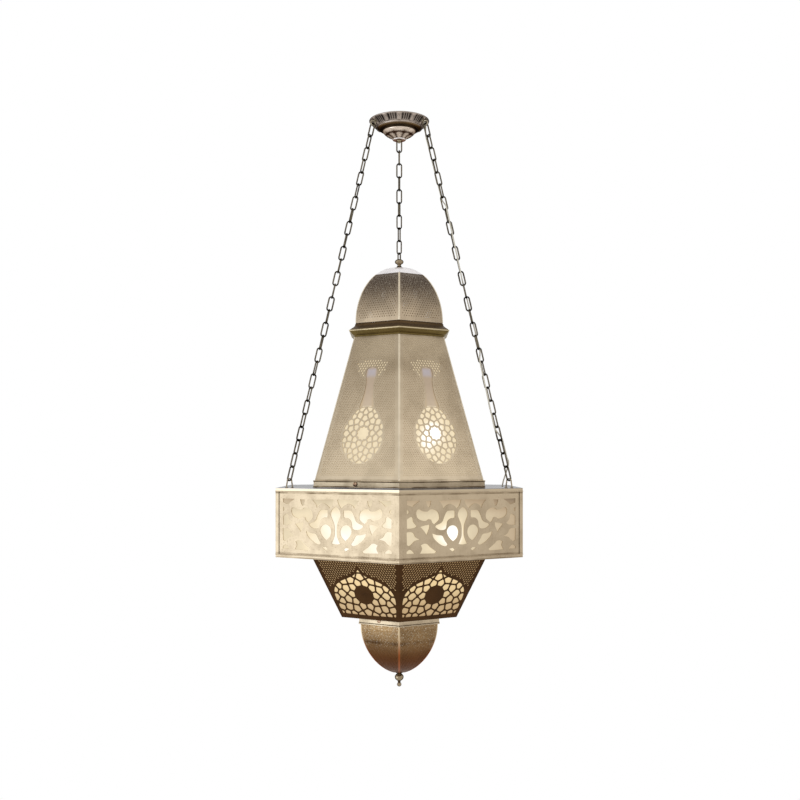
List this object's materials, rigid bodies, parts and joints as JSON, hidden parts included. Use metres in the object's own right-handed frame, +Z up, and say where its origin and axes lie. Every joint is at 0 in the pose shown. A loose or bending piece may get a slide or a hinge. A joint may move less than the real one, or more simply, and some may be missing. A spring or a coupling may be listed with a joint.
{
  "type": "hanging lantern chandelier",
  "caption": "Hexagonal pierced metal lantern with a domed crown, wide windowed band and tapered base, hung by chains from a small round ceiling canopy.",
  "frame": {"origin": "centre of the canopy's rim, in the plane of the ceiling", "axes": "+Z up out of the ceiling plane along the lantern's axis, -Y towards the front corner of the hexagon, +X to the right"},
  "size_m": [0.368, 0.425, 0.9017],
  "materials": {
    "steel": "zinc-plated steel strap and rods",
    "nickel": "slightly warm nickel plating, soft shine",
    "antique_silver": "antique silver over brass, dark in the hollows",
    "canopy_brass": "light antique brass with dark relief",
    "cone_brass": "champagne antique brass, finely pierced",
    "dome_brass": "brown antique brass, darker upwards",
    "old_brass": "dark olive brass with a bright ridge",
    "band_brass": "cream silver brass",
    "plate_grey": "grey silver sheet",
    "bronze": "dark bronze, finely pierced",
    "lower_dome_brass": "warm brass fading to brown at the bottom",
    "frosted_liner": "frosted warm white film lit from behind",
    "bulb_glass": "frosted warm white glass, lit",
    "lamp_ceramic": "white glazed ceramic",
    "cord_plastic": "clear gold-tinted cord jacket"
  },
  "bodies": {
    "canopy": {"ceiling_crossbar": "steel", "hanging_rod": "steel", "rod_nut": "steel", "canopy_dish": "antique_silver", "canopy_cone": "canopy_brass", "canopy_collar": "canopy_brass", "canopy_cap_nut": "nickel", "canopy_eye_right": "nickel", "canopy_eye_left": "nickel", "canopy_eye_back": "nickel", "lamp_cord_canopy": "cord_plastic"},
    "chain_right_top": {"chain_right_top": "nickel"},
    "chain_right": {"chain_right": "nickel", "lamp_cord": "cord_plastic"},
    "chain_left_top": {"chain_left_top": "nickel"},
    "chain_left": {"chain_left": "nickel"},
    "chain_back_top": {"chain_back_top": "nickel"},
    "chain_back": {"chain_back": "nickel"},
    "chain_back_end": {"chain_back_end": "nickel"},
    "lantern": {"dome_finial": "nickel", "crown_cap": "cone_brass", "dome_shell": "dome_brass", "crown_moulding": "old_brass", "cone_panel_1": "cone_brass", "cone_panel_2": "cone_brass", "cone_panel_3": "cone_brass", "cone_panel_4": "cone_brass", "cone_panel_5": "cone_brass", "cone_panel_6": "cone_brass", "cone_base_lip": "band_brass", "lip_screw_1": "nickel", "lip_screw_2": "nickel", "lip_screw_3": "nickel", "band_top_plate": "plate_grey", "band_eyelet_right": "nickel", "band_eyelet_left": "nickel", "band_eyelet_back": "nickel", "band_panel_1": "band_brass", "band_panel_2": "band_brass", "band_panel_3": "band_brass", "band_panel_4": "band_brass", "band_panel_5": "band_brass", "band_panel_6": "band_brass", "band_bottom_plate": "band_brass", "lower_section": "bronze", "lower_collar": "band_brass", "lower_dome": "lower_dome_brass", "bottom_finial": "nickel", "cone_liner": "frosted_liner", "band_liner": "frosted_liner", "lower_liner": "frosted_liner", "lamp_spider": "steel", "lower_rod": "steel", "lamp_holder_1": "lamp_ceramic", "lamp_holder_2": "lamp_ceramic", "lamp_holder_3": "lamp_ceramic", "lamp_cord_inner": "cord_plastic"},
    "bulb_1": {"bulb_1": "bulb_glass"},
    "bulb_2": {"bulb_2": "bulb_glass"},
    "bulb_3": {"bulb_3": "bulb_glass"}
  },
  "joints": [
    {"name": "sway_side", "type": "hinge", "parent": "canopy", "child": "chain_back_top", "pos_m": [0, 0.0479, -0.013], "axis": [0, 1, 0], "range_deg": [-8, 8]},
    {"name": "sway_fore", "type": "hinge", "parent": "chain_back_top", "child": "chain_back", "pos_m": [0, 0.05277, -0.03203], "axis": [1, 0, 0], "range_deg": [-8, 8]},
    {"name": "back_end_fore", "type": "hinge", "parent": "chain_back", "child": "chain_back_end", "pos_m": [0, 0.18553, -0.55097], "axis": [1, 0, 0], "range_deg": [-2.4, 2.4]},
    {"name": "back_end_side", "type": "hinge", "parent": "chain_back_end", "child": "lantern", "pos_m": [0, 0.1904, -0.57], "axis": [0, 1, 0], "range_deg": [-2.1, 2.1]},
    {"name": "right_side", "type": "hinge", "parent": "canopy", "child": "chain_right_top", "pos_m": [0.04148, -0.02395, -0.013], "axis": [0, 1, 0], "range_deg": [-8.1, 8.1]},
    {"name": "right_fore", "type": "hinge", "parent": "chain_right_top", "child": "chain_right", "pos_m": [0.04569, -0.02638, -0.03199], "axis": [1, 0, 0], "range_deg": [-8, 8]},
    {"name": "left_side", "type": "hinge", "parent": "canopy", "child": "chain_left_top", "pos_m": [-0.04148, -0.02395, -0.013], "axis": [0, 1, 0], "range_deg": [-8.1, 8.1]},
    {"name": "left_fore", "type": "hinge", "parent": "chain_left_top", "child": "chain_left", "pos_m": [-0.04569, -0.02638, -0.03199], "axis": [1, 0, 0], "range_deg": [-8, 8]},
    {"name": "bulb_1_turn", "type": "hinge", "parent": "lantern", "child": "bulb_1", "pos_m": [0.075, 0, -0.62], "axis": [0, 0, 1], "continuous": true},
    {"name": "bulb_2_turn", "type": "hinge", "parent": "lantern", "child": "bulb_2", "pos_m": [-0.0375, 0.06495, -0.62], "axis": [0, 0, 1], "continuous": true},
    {"name": "bulb_3_turn", "type": "hinge", "parent": "lantern", "child": "bulb_3", "pos_m": [-0.0375, -0.06495, -0.62], "axis": [0, 0, 1], "continuous": true}
  ],
  "couplings": [
    {"joint": "right_side", "follows": "sway_side", "ratio": 1},
    {"joint": "left_side", "follows": "sway_side", "ratio": 1},
    {"joint": "back_end_side", "follows": "sway_side", "ratio": -0.25158},
    {"joint": "right_fore", "follows": "sway_fore", "ratio": 0.98988},
    {"joint": "left_fore", "follows": "sway_fore", "ratio": 0.98988},
    {"joint": "back_end_fore", "follows": "sway_fore", "ratio": -0.28441}
  ]
}
